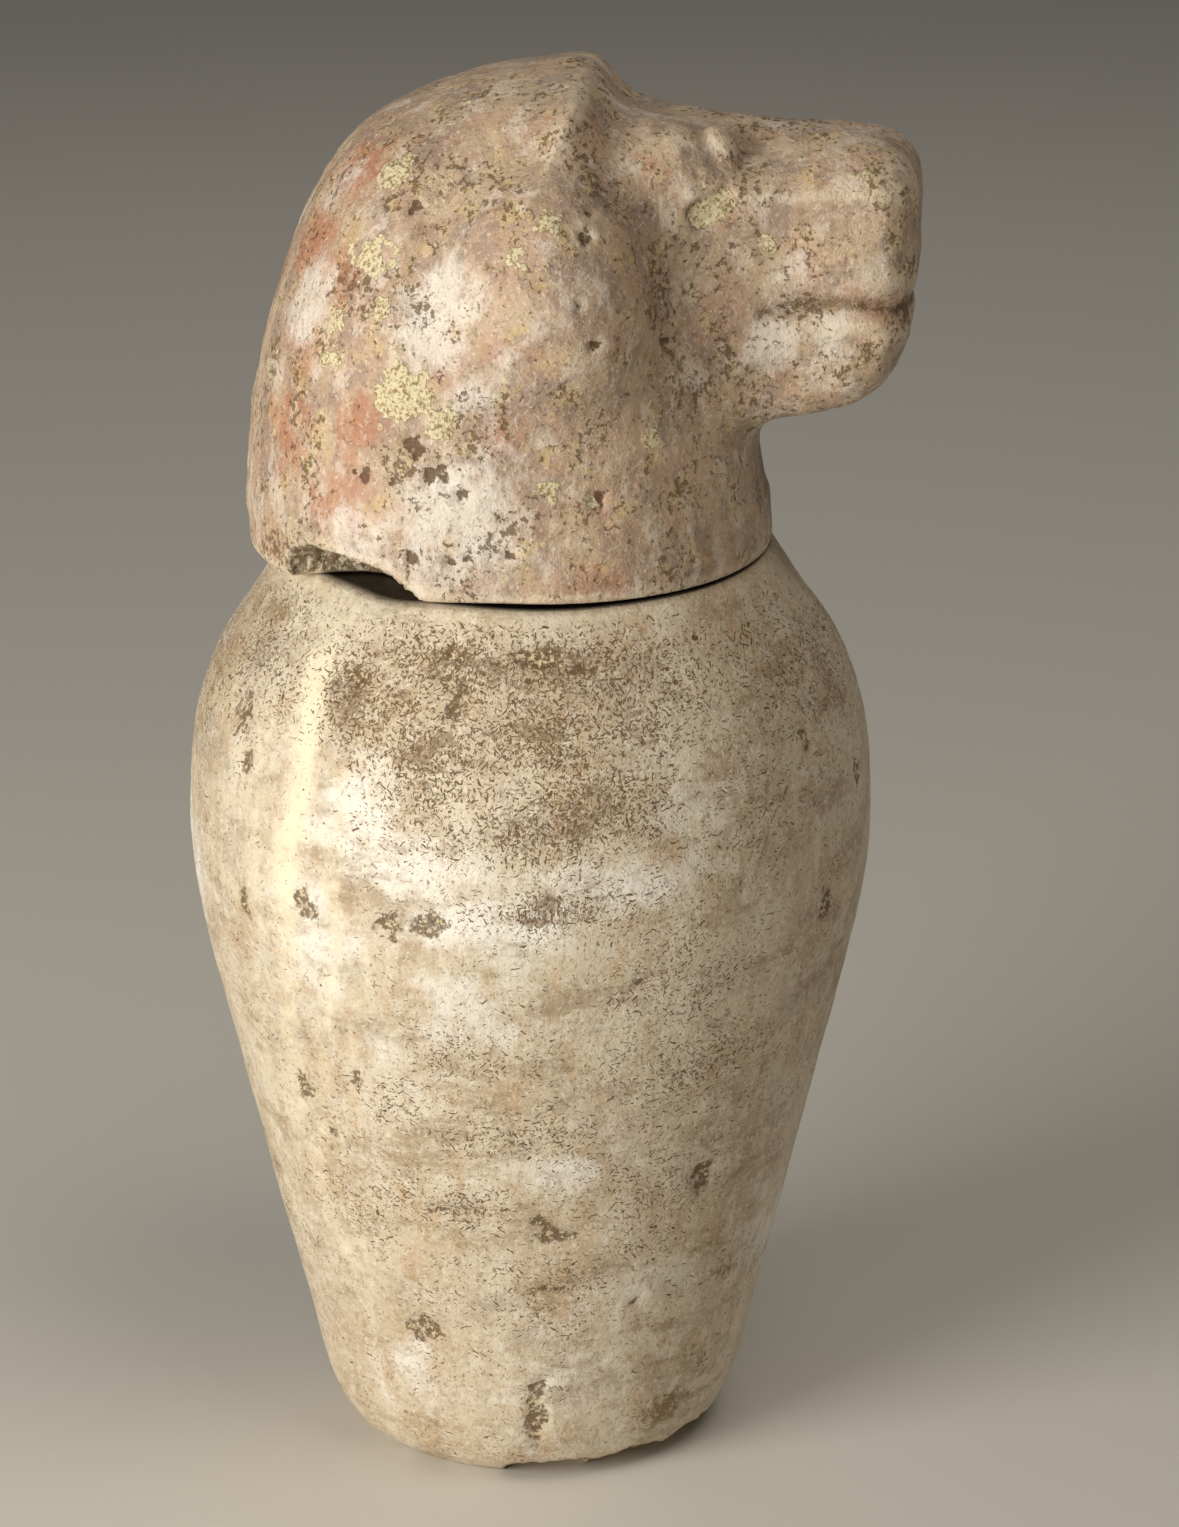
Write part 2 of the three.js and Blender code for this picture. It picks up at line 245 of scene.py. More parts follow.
def whole_lid(x, y, z):
    """The head cut flat below and broken at its edge, with the plug under it."""
    head = carve(carved_head(x, y, z), z, 2.0)
    head = carve(head, edge_break(x, y, z), 0.5)
    plug = np.maximum(np.hypot(x - LID_SETBACK, y) - PLUG_RADIUS, -PLUG_DEPTH - z)
    return np.minimum(head, np.maximum(plug, z - 6))


# ---------------------------------------------------------------- meshes


def new_piece(name, mesh):
    """A visible object at the origin that shows the mesh."""
    piece = bpy.data.objects.new(name, mesh)
    bpy.context.scene.collection.objects.link(piece)
    return piece


def places(mesh):
    """The mesh's vertices, one row each."""
    co = np.empty(len(mesh.vertices) * 3, np.float64)
    mesh.vertices.foreach_get("co", co)
    return co.reshape(-1, 3)


def move_to(mesh, co):
    mesh.vertices.foreach_set("co", co.astype(np.float32).ravel())
    mesh.update()


def outward(mesh):
    normals = np.empty(len(mesh.vertices) * 3, np.float32)
    mesh.vertices.foreach_get("normal", normals)
    return normals.reshape(-1, 3).astype(np.float64)


def edge_ends(mesh):
    ends = np.empty(len(mesh.edges) * 2, np.int32)
    mesh.edges.foreach_get("vertices", ends)
    return ends.reshape(-1, 2)


def relaxed(values, ends, rounds, share=0.5):
    """Each value moved towards the mean of its neighbours, some rounds over."""
    values = values.copy()
    count = np.bincount(ends.ravel(), minlength=len(values)).astype(float)
    for _ in range(rounds):
        total = np.zeros_like(values)
        flat = values.reshape(len(values), -1)
        for k in range(flat.shape[1]):
            column = np.bincount(ends[:, 0], flat[ends[:, 1], k], len(values))
            column += np.bincount(ends[:, 1], flat[ends[:, 0], k], len(values))
            total.reshape(len(values), -1)[:, k] = column
        mean = total / (count if values.ndim == 1 else count[:, None])
        values += share * (mean - values)
    return values


def wear(co, size, seed, octaves=3):
    """Smooth noise at points in millimetres, about -1 to 1, with lumps of one size."""
    shift = Vector((seed * 13.7, seed * 7.1, seed * 3.3))
    return np.array([noise.fractal(Vector(p) / size + shift, 1.0, 2.0, octaves) for p in co])


def mark(mesh, name, values):
    """Keeps a value from 0 to 1 at each vertex, for a finish to read by name."""
    layer = mesh.attributes.new(name, "FLOAT", "POINT")
    layer.data.foreach_set("value", np.clip(values, 0, 1).astype(np.float32))


def spots(co, places_mm, grow=1.0):
    """1 at each listed place, falling to 0 over its size: (x, y, z, radius, strength)."""
    total = np.zeros(len(co))
    for x, y, z, radius, strength in places_mm:
        far = np.linalg.norm(co - (x, y, z), axis=1) / (radius * grow)
        total = np.maximum(total, strength * np.exp(-(far**2)))
    return total


def smooth_shaded(mesh):
    mesh.polygons.foreach_set("use_smooth", [True] * len(mesh.polygons))
    mesh.update()


# ---------------------------------------------------------------- the lid
# marks on its skin: (x, y, z, radius, strength) in the lid's own millimetres

IRON = [
    (-34, -24, 94, 9, 1), (-43, -26, 78, 9, 1), (-37, -39, 72, 9, 0.9), (-46, -34, 56, 9, 0.9),
    (-10, -57, 57, 7, 0.9), (-3, -59, 61, 6, 0.8), (-49, -36, 35, 10, 0.8), (-30, -51, 42, 7, 0.8),
    (-34, -51, 23, 10, 0.9), (3, -58, 42, 7, 0.8), (21, -30, 106, 8, 0.7), (36, -28, 100, 6, 0.6),
    (26, -55, 5, 6, 0.8), (-42, 20, 80, 11, 1), (-30, 42, 62, 10, 0.9), (-48, 26, 40, 12, 0.9),
    (-10, 56, 50, 9, 0.8), (-56, 0, 62, 11, 0.9), (-60, 6, 26, 12, 0.8), (20, 50, 22, 9, 0.7),
    (-20, 10, 106, 9, 0.6), (58, 26, 60, 7, 0.5),
]
# whiter crystal in cloudy patches; the large ones on the lobe's left face are a painted highlight
WHITE_AND_HIGHLIGHT = [
    (-37, -22, 90, 8, 0.8), (-42, -34, 68, 8, 1), (-46, -32, 60, 8, 0.9), (-9, -54, 71, 9, 1),
    (-13, -56, 64, 11, 1), (-17, -55, 56, 8, 0.8), (15, -61, 70, 8, 0.5), (-2, -60, 50, 9, 0.8),
    (0, -56, 30, 12, 0.7), (72, -26, 69, 8, 0.7), (87, -25, 72, 7, 0.7), (63, -25, 55, 7, 0.9),
    (77, -25, 57, 8, 0.8), (-8, -58, 20, 17, 0.9), (3, -60, 59, 8, 0.5), (-29, -54, 15, 11, 0.8),
    (-50, 12, 88, 12, 0.6), (-20, 52, 30, 18, 0.8), (-56, 10, 50, 9, 0.8), (10, 60, 70, 10, 0.7),
    (75, 26, 66, 12, 0.6), (-61, -4, 14, 12, 0.7), (30, 52, 14, 12, 0.5),
]
CRUSTS = [
    (-23, -33, 96, 4.2, 1), (-28, -44, 78, 5.2, 0.9), (-25, -50, 68, 3, 0.9), (-21, -55, 49, 6.2, 1),
    (-17.5, -56, 50, 4.5, 1), (-11, -58, 43, 4, 0.9), (-37, -42, 63, 3.4, 0.8),
    (-38, -44, 55, 3.4, 0.8), (13, -53, 89, 2.8, 0.9), (14, -57, 27, 2.6, 0.8), (37, -43, 36, 3.2, 0.8),
    (6, -58, 82, 3, 0.7), (23, -54, 24, 2.4, 0.7), (62, -26, 79, 2.6, 0.7), (84, -22, 94, 2.6, 0.7),
    (-55, -23, 46, 3, 0.7), (-7, -19, 110, 3, 0.6), (-30, 40, 84, 5, 1), (-20, 54, 52, 5, 1),
    (-52, 18, 66, 4, 0.9), (-60, 2, 36, 5, 0.9), (24, 50, 40, 3, 0.8), (70, 25, 82, 3, 0.7),
    (-42, 0, 98, 4, 0.8),
]
PITS = [
    (-22, -56, 28, 1.6, 0.9), (-4, -59, 40, 1.6, 0.8), (12, -59, 47, 1.5, 0.8), (30, -51, 44, 1.8, 0.8),
    (-17, -57, 37, 2.4, 1), (-12, -58, 31, 2.6, 1), (-6, -58, 26, 1.8, 0.9), (-18, -42, 90, 2, 0.9),
    (25, -57, 62, 1.8, 0.9), (22, -52, 86, 1.4, 1), (23, -47, 90, 1.3, 0.9), (-18, -57, 10, 1.8, 1),
    (-9, -58, 11, 1.4, 0.9), (-5, -58, 11, 1.6, 0.9), (-30, -53, 30, 2.2, 0.8), (25, -53, 24, 2.6, 1),
    (51, -22, 94, 1.3, 1), (5, -58, 12, 1.5, 0.8), (21, -59, 71, 1.3, 0.8), (11, -61, 59, 1.2, 0.7),
    (40, -36, 58, 1.8, 0.8), (-16, 57, 33, 2.4, 0.9), (-48, 20, 30, 2.4, 0.9), (-30, 45, 76, 2, 0.8),
    (10, 57, 20, 1.8, 0.9), (-58, 12, 20, 2, 0.8), (66, 26, 76, 1.5, 0.8), (-50, 0, 84, 2, 0.8),
]
# painted shade along the deep fold between the mane's lobe and the cheek, and in the furrow before the eye
VALLEY_SHADE = [
    (22, -33, 98, 9, 0.1), (29, -40, 89, 9, 0.3), (34, -43, 78, 10, 0.35), (37, -40, 66, 10, 0.4),
    (39, -37, 54, 10, 0.4), (40, -36, 44, 10, 0.5), (56, -14, 98, 6, 0.35), (66, -14, 98, 7, 0.15),
    (12, -33, 101, 7, 0.25), (-6, -38, 96, 8, 0.35), (60, -30, 40, 10, 0.5), (75, -24, 37, 10, 0.45),
    (50, -30, 56, 9, 0.35), (72, -26, 84, 20, 0.2), (84, -24, 62, 18, 0.18),
]


def eye_inlay(co):
    """The sunk rectangle of crust under the right eye: how far inside it a point is."""
    half_long, half_short, lean = 6.2, 3.4, math.radians(33)
    d = co - (49.5, -27.5, 87.6)
    long = (d[:, 0] * math.cos(lean) + d[:, 2] * math.sin(lean)) / half_long
    short = (-d[:, 0] * math.sin(lean) + d[:, 2] * math.cos(lean)) / half_short
    rounded = (long**4 + short**4) ** 0.25
    return np.where(np.abs(d[:, 1]) < 9, 1 - ramp(rounded, 0.82, 1.05), 0)


def to_lid(co):
    """Places in the frame, in metres, as the lid's own millimetres."""
    return np.stack([LID_SETBACK - co[:, 1] / MM, co[:, 0] / MM, co[:, 2] / MM - LID_SEAT], axis=1)


def to_frame(local):
    """Places in the lid's own millimetres as places in the frame, in metres."""
    return np.stack([local[:, 1], LID_SETBACK - local[:, 0], local[:, 2] + LID_SEAT], axis=1) * MM


def settle(local, rounds=3, step=0.04):
    """Slides points down the field's slope onto the lid's skin."""
    p = local.copy()
    for _ in range(rounds):
        here = whole_lid(*p.T)
        slope = np.stack([(whole_lid(*(p + step * axis).T) - here) / step for axis in np.eye(3)], axis=1)
        move = -here[:, None] * slope / np.maximum((slope**2).sum(1), 0.25)[:, None]
        length = np.linalg.norm(move, axis=1)[:, None]
        p += move * np.minimum(1, 2.0 / np.maximum(length, 1e-9))
    return p


def even_skin():
    """The lid's body in cells of one size, settled onto the carved head: the piece and its places."""
    rough = bpy.data.meshes.new("lid_rough")
    bm = bmesh.new()
    bm.from_mesh(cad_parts["baboon_head_lid"].data)
    bmesh.ops.remove_doubles(bm, verts=bm.verts, dist=1e-5)
    bm.to_mesh(rough)
    bm.free()
    piece = new_piece("baboon_head", rough)
    remesh = piece.modifiers.new("even_skin", "REMESH")
    remesh.mode, remesh.voxel_size, remesh.adaptivity = "VOXEL", LID_CELL * MM, 0
    mesh = bpy.data.meshes.new_from_object(piece.evaluated_get(bpy.context.evaluated_depsgraph_get()))
    piece.modifiers.clear()
    piece.data = mesh
    mesh.name = "baboon_head"

    ends = edge_ends(mesh)
    local = to_lid(places(mesh))
    for _ in range(2):
        local = settle(relaxed(local, ends, 2, 0.6))
    move_to(mesh, to_frame(local))
    return piece, local


def make_lid():
    piece, local = even_skin()
    mesh = piece.data
    normal = outward(mesh)
    normal = np.stack([-normal[:, 1], normal[:, 0], normal[:, 2]], axis=1)

    # hollows are darkened in an earth colour, partly earth and partly painted shade: how far the skin lies
    # under its own average
    soft = relaxed(local, edge_ends(mesh), 60)
    hollow = ((soft - local) * normal).sum(1)
    valley_shade = np.maximum(spots(local, VALLEY_SHADE), spots(local * (1, -1, 1), VALLEY_SHADE))
    grime_and_shade = np.maximum(0.75 * ramp(hollow, 0.15, 1.5), valley_shade)
    edges = ramp(-hollow, 0.15, 0.9)

    ragged = wear(local, 2.6, 3)
    inlay = eye_inlay(local)
    pit = ramp(spots(local, PITS, 1.5) + 0.4 * ragged, 0.35, 0.75)
    flakes = ramp(spots(local, CRUSTS, 1.25) + 0.45 * ragged, 0.38, 0.6)
    radius = np.hypot(local[:, 0] - LID_SETBACK, local[:, 1])
    fracture = 1 - ramp(np.abs(edge_break(*local.T)), 0.25, 1.0)
    fracture *= ramp(local[:, 2], 0.2, 0.8) * (radius > 40)
    off, along = from_line(local[:, 0], local[:, 2], MOUTH)
    corner = bump(off + 0.6, 1.6) * ramp(along, 0.66, 0.8) * (local[:, 1] < 0) * (np.abs(local[:, 1]) > 12)
    # painted shadow along the line of the parted lips
    grime_and_shade = np.maximum(grime_and_shade, bump(off, 2.4) * ramp(local[:, 0], 58, 66))
    skin = ramp(local[:, 2], 0.3, 2.0)

    # the mason's hand and long wear: soft lumps, then pitting, crusts that stand proud, and a rough break
    lumps = 0.42 * wear(local, 15, 1) + 0.2 * wear(local, 5, 2)
    inlay_rim = bump(inlay - 0.5, 0.3)
    rise = lumps * (1 - fracture) - 0.9 * pit - 1.1 * inlay - 0.4 * inlay_rim + 0.3 * flakes * (1 - inlay)
    rise += inlay * 0.35 * ragged + 0.6 * corner * ragged
    rise += fracture * (0.9 * wear(local, 5, 4) + 0.45 * wear(local, 1.6, 6))
    local += normal * (rise * skin)[:, None]
    outside_plug = np.hypot(local[:, 0] - LID_SETBACK, local[:, 1]) > PLUG_RADIUS + 1
    local[:, 2] = np.maximum(local[:, 2], np.where(outside_plug, 0, -PLUG_DEPTH))
    move_to(mesh, to_frame(local))

    dark_rim = inlay_rim * (inlay > 0.02)
    mark(mesh, "iron", spots(local, IRON, 1.7))
    mark(mesh, "white", spots(local, WHITE_AND_HIGHLIGHT, 1.5))
    mark(mesh, "crust", np.maximum(np.maximum(flakes, inlay), corner))
    mark(mesh, "grime_and_shade", np.maximum(grime_and_shade, 0.8 * dark_rim))
    mark(mesh, "edges", edges)
    mark(mesh, "pit", np.maximum(pit, 0.85 * dark_rim))
    mark(mesh, "fracture", fracture)
    mark(mesh, "seam", ramp(0.9 - local[:, 2], 0, 0.7) * (1 - ramp(radius, 56.5, 58)))
    smooth_shaded(mesh)
    return piece


# ---------------------------------------------------------------- the jar

JAR_HEIGHT, FOOT_RADIUS, LIP_RADIUS, MOUTH_RADIUS = 226, 39.5, 58, 38
NECK_HEIGHT, WELL_FLOOR, WELL_RADIUS = 217, 22, 26
SPIN_STEPS = 320
# down the outside and up the drilled inside: (radius, height) in millimetres
FLANK = [
    (39.5, 0), (43.9, 3), (48, 8.4), (51.8, 18), (55.5, 34), (62.6, 62), (70.6, 95), (77.7, 125),
    (81.9, 148), (82.4, 166), (81, 182), (75.5, 199), (66.6, 213), (61.1, 221.5), (59, 225), (58, 226),
]
HOLLOW = [(26, 22), (36, 29), (44, 56), (56, 110), (63, 150), (62, 178), (50, 203), (39, 213), (38, 217)]
# chips along the foot: (azimuth in degrees, then half-sizes inwards, along the foot and upwards, in mm)
CHIP_RADIUS, CHIP_BASE = 42.5, (0, 0, -0.4)
FOOT_CHIPS = [
    (-176, 7.5, 7, 5), (-163, 9.5, 10, 6), (-141, 10.5, 12, 7.5), (-117, 12, 13, 8.5), (-97, 10, 10, 8),
    (-80, 6, 7, 5.5), (-52, 3, 4.5, 2.2), (-12, 3.2, 6, 2.4), (52, 3.4, 7, 2.6), (128, 3, 5, 2.2),
]

# marks round the jar: (azimuth in degrees, height, half-width and half-height in millimetres, strength)
TOOLED = [
    (150, 205, 24, 12, 0.9), (172, 214, 26, 8, 1), (191, 214, 22, 8, 1), (207, 206, 22, 12, 0.8),
    (187, 200, 26, 12, 0.9), (168, 196, 22, 12, 0.9), (196, 184, 20, 10, 1), (186, 178, 24, 8, 1),
    (166, 188, 18, 10, 0.7), (188, 160, 20, 5, 0.9), (224, 178, 16, 18, 0.35), (212, 139, 16, 14, 0.5),
    (214, 117, 20, 12, 0.6), (158, 107, 12, 8, 0.4), (168, 80, 22, 7, 0.6), (183, 101, 18, 6, 0.6),
    (210, 80, 14, 16, 0.5), (146, 76, 14, 8, 0.5), (172, 121, 16, 8, 0.4), (190, 60, 22, 12, 0.4),
    (250, 205, 30, 14, 0.55), (290, 200, 30, 14, 0.7), (330, 210, 28, 12, 0.9), (10, 200, 30, 16, 0.8),
    (50, 208, 30, 12, 0.9), (90, 198, 28, 16, 0.7), (120, 208, 20, 12, 0.7), (300, 150, 24, 14, 0.6),
    (350, 130, 26, 12, 0.6), (40, 150, 24, 14, 0.7), (80, 110, 26, 12, 0.5), (270, 100, 24, 12, 0.5),
    (320, 80, 26, 12, 0.6), (20, 70, 22, 10, 0.5), (100, 60, 20, 10, 0.5), (60, 40, 20, 8, 0.4),
]
# paler stone, and on the flank between the window lamp and the camera a painted sheen
PALE_AND_SHEEN = [
    (165, 169, 22, 10, 1), (154, 178, 16, 14, 0.9), (178, 156, 24, 9, 1), (200, 166, 24, 7, 0.9),
    (212, 180, 16, 8, 0.6), (173, 134, 20, 16, 0.6), (151, 28, 14, 16, 0.45), (196, 30, 26, 14, 0.55),
    (146, 145, 16, 26, 0.7), (208, 54, 16, 12, 0.5), (190, 91, 18, 7, 0.7), (162, 120, 26, 26, 0.4),
    (300, 170, 30, 14, 0.8), (350, 160, 26, 16, 0.8), (60, 172, 30, 12, 0.9), (20, 110, 24, 20, 0.6),
    (100, 150, 22, 24, 0.7), (260, 60, 24, 20, 0.6), (330, 40, 30, 14, 0.7), (40, 28, 30, 12, 0.7),
]
COMBED = [
    (188, 160, 13, 3.2, 1), (184, 172, 12, 2.4, 0.9), (178, 187, 12, 2.2, 0.8), (196, 152, 9, 2.6, 0.7),
    (200, 190, 10, 2.6, 0.8), (10, 160, 14, 3, 0.9), (350, 180, 12, 3, 0.8), (172, 100, 12, 2, 0.7),
]
STAINS = [
    (236, 53, 12, 5, 0.9), (226, 62, 10, 6, 0.6), (210, 82, 18, 5, 0.5), (140, 85, 8, 5, 0.5),
    (155, 139, 10, 8, 0.4), (224, 16, 12, 8, 1), (171, 211, 16, 6, 0.4), (244, 130, 14, 24, 0.5),
    (330, 60, 16, 10, 0.7), (80, 80, 16, 12, 0.6), (20, 30, 14, 8, 0.7), (280, 140, 20, 12, 0.5),
]
JAR_PITS = [
    (168.5, 156, 3.2, 2.6, 1), (161.5, 155, 3.2, 1.8, 0.8), (145, 155, 2.4, 2.8, 1),
    (124, 195, 2.6, 3.2, 0.9), (129, 149, 2.2, 2.6, 0.9), (162, 151, 1.6, 1.6, 0.7),
    (151, 111, 1.6, 1.8, 0.9), (137, 104, 1.8, 2.8, 1), (190, 72, 3.2, 1.8, 0.9),
    (187, 76, 2.2, 1.4, 0.7), (158, 42, 4.2, 2.4, 0.8), (186, 20, 1.8, 5.5, 1),
    (222, 82, 2.4, 4.6, 0.8), (240, 189, 1.6, 2.2, 0.8), (244, 147, 1.8, 3.4, 0.9),
    (204, 140, 2.2, 2.2, 0.6), (210, 50, 2, 2, 0.7), (129, 185, 1.6, 2.2, 0.8),
    (222, 161, 1.8, 1.6, 0.6), (142, 95, 2.6, 1.4, 0.7), (187, 57, 4.4, 1.2, 0.8),
    (168, 78, 5, 1.2, 0.7), (183, 101, 4.5, 0.9, 0.6), (300, 120, 3, 3, 0.9), (340, 170, 2.6, 3.4, 0.9),
    (20, 140, 3, 2.4, 0.9), (70, 90, 2.6, 3.2, 0.8), (95, 175, 2.2, 2.6, 0.8), (149, 208, 3.6, 3, 0.8),
    (171, 206, 3, 3.4, 0.7), (187, 216, 4.5, 1.6, 0.9), (195, 213, 3.6, 2, 0.7),
    (170, 216, 3.6, 1.6, 0.7), (275, 70, 3.4, 2, 0.8), (320, 30, 3, 3.6, 0.8), (50, 60, 3, 2, 0.8),
    (258, 175, 2.2, 2.4, 0.8),
]


def along_skin(azimuth, at, radius):
    """How far round the jar each point is from an azimuth, in millimetres."""
    return np.radians((azimuth - at + 180) % 360 - 180) * radius


def around(azimuth, height, radius, marks):
    """The strongest of the marks at each point of the jar's skin."""
    total = np.zeros(len(azimuth))
    for at, up, half_width, half_height, strength in marks:
        far = (along_skin(azimuth, at, radius) / half_width) ** 2 + ((height - up) / half_height) ** 2
        total = np.maximum(total, strength * np.exp(-far))
    return total


def turned_jar():
    """The jar as it is turned and drilled, one profile spun round."""
    outside = evenly(smooth_through(FLANK, 200), 1.6)
    inside = evenly(smooth_through(HOLLOW, 90), 4.2)[::-1]
    profile = np.concatenate([
        evenly([(0, 0), (FOOT_RADIUS, 0)], 5)[:-1], outside,
        evenly([(LIP_RADIUS, JAR_HEIGHT), (MOUTH_RADIUS, JAR_HEIGHT)], 3)[1:-1],
        evenly([(MOUTH_RADIUS, JAR_HEIGHT), (MOUTH_RADIUS, NECK_HEIGHT)], 3)[:-1], inside,
        evenly([(WELL_RADIUS, WELL_FLOOR), (0, WELL_FLOOR)], 5)[1:],
    ])
    bm = bmesh.new()
    line = [bm.verts.new((r * MM, 0, z * MM)) for r, z in profile]
    edges = [bm.edges.new(pair) for pair in zip(line[:-1], line[1:])]
    bmesh.ops.spin(
        bm, geom=line + edges, axis=(0, 0, 1), cent=(0, 0, 0),
        angle=math.tau, steps=SPIN_STEPS, use_merge=True,
    )
    bmesh.ops.remove_doubles(bm, verts=bm.verts, dist=1e-6)
    bmesh.ops.recalc_face_normals(bm, faces=bm.faces)
    mesh = bpy.data.meshes.new("stone_jar")
    bm.to_mesh(mesh)
    bm.free()
    return new_piece("stone_jar", mesh)


def chip_foot(co, radius, height):
    """Pushes skin inside each chip's lump to its far side; gives the places and how broken each is."""
    near_foot = (radius > 20) & (height < 18)
    broken = np.zeros(len(co))
    for degrees, inward, along, up in FOOT_CHIPS:
        a = math.radians(degrees)
        out, side = np.array([math.cos(a), math.sin(a), 0]), np.array([-math.sin(a), math.cos(a), 0])
        middle = out * CHIP_RADIUS + CHIP_BASE
        d = co - middle
        q = np.stack([d @ out / inward, d @ side / along, d[:, 2] / up], axis=1)
        near = np.linalg.norm(q, axis=1)
        inside_lump = (near < 1) & near_foot
        q *= np.where(inside_lump, 1 / np.maximum(near, 0.15), 1)[:, None]
        moved = middle + q[:, :1] * inward * out + q[:, 1:2] * along * side + q[:, 2:] * up * (0, 0, 1)
        co = np.where(inside_lump[:, None], moved, co)
        broken = np.maximum(broken, 1 - ramp(near, 0.85, 1.08))
    co[:, 2] = np.maximum(co[:, 2], 0)
    return co, broken * near_foot


def bright_bands(azimuth, height, radius):
    """The bright band that wanders down one side, with thin bands by it and a fainter one far round."""
    at = np.interp(height, [83, 114, 143, 170, 185, 202, 211], [129, 136.6, 139.6, 142.2, 142.9, 142.2, 140])
    at += 0.8 * np.sin(height / 7)
    bands = bump(along_skin(azimuth, at, radius), 6.0 + 1.1 * np.sin(height / 11))
    bands *= (0.55 + 0.45 * ramp(height, 130, 175)) * ramp(height, 70, 110) * ramp(222 - height, 0, 14)
    for turn, width, strength in ((9, 4, 0.5), (15, 3, 0.35), (-9, 5, 0.45)):
        thin = bump(along_skin(azimuth, at + turn + 1.5 * np.sin(height / 19), radius), width)
        bands = np.maximum(bands, strength * thin * ramp(height, 30, 60) * ramp(205 - height, 0, 30))
    far_round = bump(along_skin(azimuth, 20 + 4 * np.sin(height / 31), radius), 7) * ramp(height, 20, 60)
    return np.maximum(bands, 0.7 * far_round)


def make_jar():
    piece = turned_jar()
    mesh = piece.data
    co = places(mesh) / MM
    radius, height = np.hypot(co[:, 0], co[:, 1]), co[:, 2]
    azimuth = np.degrees(np.arctan2(co[:, 1], co[:, 0])) % 360
    shell = np.interp(height, [z for _, z in FLANK], [r for r, _ in FLANK])
    skin = ramp(radius, shell - 4, shell - 1.5) * ramp(height, 0.2, 3) * ramp(RIM_HEIGHT - height, 0.5, 4)
    co, broken = chip_foot(co, radius, height)
    move_to(mesh, co * MM)

    # lumps from the mason's hand, pits, and rough stone in the chips
    normal = outward(mesh)
    wide_pits = [(at, up, 2 * half_width, 2 * half_height, strength)
                 for at, up, half_width, half_height, strength in JAR_PITS]
    pit = ramp(around(azimuth, height, radius, wide_pits) + 0.4 * wear(co, 3, 15), 0.22, 0.75) * skin
    rise = skin * (0.32 * wear(co, 24, 11, 2) + 0.1 * wear(co, 5, 12)) - 0.7 * pit
    rise += broken * (0.5 * wear(co, 4, 13) + 0.3 * wear(co, 1.8, 14)) * ramp(co[:, 2], 0.3, 1.5)
    co += normal * rise[:, None]
    co[:, 2] = np.maximum(co[:, 2], 0)
    # the rim is worn low in places, so the lid stands a little clear of it there
    worn = np.full(len(co), 0.15)
    for at, half_angle, depth in ((192, 24, 1.1), (150, 9, 1.3), (230, 20, 0.5)):
        worn += depth * bump(azimuth - at, half_angle)
    co[:, 2] -= worn * ramp(radius, 47, 56) * ramp(height, RIM_HEIGHT - 6, RIM_HEIGHT)
    move_to(mesh, co * MM)

    for name, marks in (("tooled", TOOLED), ("combed", COMBED), ("pale", PALE_AND_SHEEN), ("stain", STAINS)):
        mark(mesh, name, around(azimuth, height, radius, marks) * skin)
    mark(mesh, "pit", pit)
    mark(mesh, "broken", broken)
    mark(mesh, "vein", bright_bands(azimuth, height, radius) * skin)
    mark(mesh, "skin", skin)
    mark(mesh, "seam", ramp(height, RIM_HEIGHT - 1.2, RIM_HEIGHT - 0.4) * (1 - ramp(radius, 57.2, 58.4)))
    smooth_shaded(mesh)
    return piece


# ---------------------------------------------------------------- finishes

STONE_IOR = 1.5
STROKE_WANDER = 0.9
TOOTH_SPACING = 1.5
SEAM_SHADOW = "#1d150d"


def colour(code):
    """An sRGB hex value as linear light."""
    values = [int(code[i : i + 2], 16) / 255 for i in (1, 3, 5)]
    return [v / 12.92 if v <= 0.04045 else ((v + 0.055) / 1.055) ** 2.4 for v in values] + [1]


def add(tree, kind, inputs, out=0, **settings):
    """Adds a node with its settings, sets or links its inputs, and gives one of its outputs."""
    made = tree.nodes.new("ShaderNode" + kind)
    for key, value in settings.items():
        setattr(made, key, value)
    for key, value in inputs.items():
        if isinstance(value, bpy.types.NodeSocket):
            tree.links.new(value, made.inputs[key])
        else:
            made.inputs[key].default_value = value
    return made.outputs[out] if made.outputs else made


def per_mm(size):
    """The pattern scale that gives features of one size in millimetres."""
    return 1 / (size * MM)


def new_stone(name):
    material = bpy.data.materials.new(name)
    material.use_nodes = True
    material.node_tree.nodes.clear()
    return material, material.node_tree


def patches(tree, where, size, start, end, most=1.0, held=None, gain=0.5, detail=4.0, rough=0.6):
    """Ragged patches of one size in millimetres, only where they are held if that is given."""
    noise_at = {"Vector": where, "Scale": per_mm(size), "Detail": detail, "Roughness": rough}
    edge = add(tree, "TexNoise", noise_at)
    if held is not None:
        edge = add(tree, "Math", {0: held, 1: gain, 2: edge}, operation="MULTIPLY_ADD")
    limits = {0: edge, 1: start, 2: end, 3: 0.0, 4: most}
    return add(tree, "MapRange", limits, interpolation_type="SMOOTHSTEP")


def coat(tree, under, over, *spread, **edge):
    """Lays a colour over another in such patches; gives the colour and how much of the coat there is."""
    amount = patches(tree, *spread, **edge)
    over = colour(over) if isinstance(over, str) else over
    return add(tree, "Mix", {0: amount, 6: under, 7: over}, 2, data_type="RGBA"), amount


